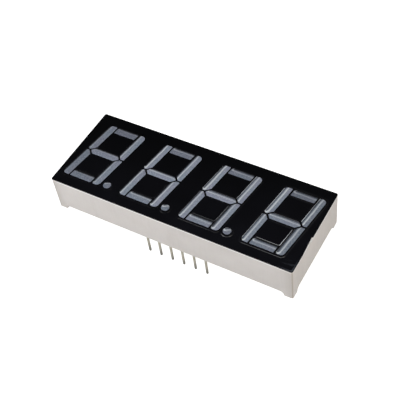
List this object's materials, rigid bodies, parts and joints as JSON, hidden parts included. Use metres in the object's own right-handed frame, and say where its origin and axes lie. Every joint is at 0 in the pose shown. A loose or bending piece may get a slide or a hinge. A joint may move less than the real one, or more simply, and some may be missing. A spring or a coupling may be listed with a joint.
{
  "type": "four-digit seven-segment display",
  "caption": "Low rectangular numeric display: leaning digits of milky bars with decimal points on a glossy black face, white moulded reflector body with corner feet, and rows of pins beneath.",
  "frame": {"origin": "centre of the pin pattern, on the seat plane under the four feet", "axes": "+X along the row of digits in reading order, +Y towards the tops of the digits, +Z out of the face"},
  "size_m": [0.0502, 0.019, 0.0142],
  "materials": {
    "housing_plastic": "satin moulded plastic, warm white",
    "black_film": "gloss black film",
    "milky_resin": "milky cast resin, smooth",
    "board_laminate": "glass-fibre laminate under clear resin",
    "chip_crystal": "light-emitting crystal",
    "tinned_wire": "tinned round wire"
  },
  "bodies": {
    "root": {"reflector_housing": "housing_plastic", "face_film": "black_film", "circuit_board": "board_laminate", "digit_1_segment_a": "milky_resin", "digit_1_segment_b": "milky_resin", "digit_1_segment_c": "milky_resin", "digit_1_segment_d": "milky_resin", "digit_1_segment_e": "milky_resin", "digit_1_segment_f": "milky_resin", "digit_1_segment_g": "milky_resin", "digit_1_decimal_point": "milky_resin", "digit_2_segment_a": "milky_resin", "digit_2_segment_b": "milky_resin", "digit_2_segment_c": "milky_resin", "digit_2_segment_d": "milky_resin", "digit_2_segment_e": "milky_resin", "digit_2_segment_f": "milky_resin", "digit_2_segment_g": "milky_resin", "digit_2_decimal_point": "milky_resin", "digit_3_segment_a": "milky_resin", "digit_3_segment_b": "milky_resin", "digit_3_segment_c": "milky_resin", "digit_3_segment_d": "milky_resin", "digit_3_segment_e": "milky_resin", "digit_3_segment_f": "milky_resin", "digit_3_segment_g": "milky_resin", "digit_3_decimal_point": "milky_resin", "digit_4_segment_a": "milky_resin", "digit_4_segment_b": "milky_resin", "digit_4_segment_c": "milky_resin", "digit_4_segment_d": "milky_resin", "digit_4_segment_e": "milky_resin", "digit_4_segment_f": "milky_resin", "digit_4_segment_g": "milky_resin", "digit_1_led_chips": "chip_crystal", "digit_2_led_chips": "chip_crystal", "digit_3_led_chips": "chip_crystal", "digit_4_led_chips": "chip_crystal", "pin_1": "tinned_wire", "pin_2": "tinned_wire", "pin_3": "tinned_wire", "pin_4": "tinned_wire", "pin_5": "tinned_wire", "pin_6": "tinned_wire", "pin_7": "tinned_wire", "pin_8": "tinned_wire", "pin_9": "tinned_wire", "pin_10": "tinned_wire", "pin_11": "tinned_wire", "pin_12": "tinned_wire"}
  },
  "joints": []
}
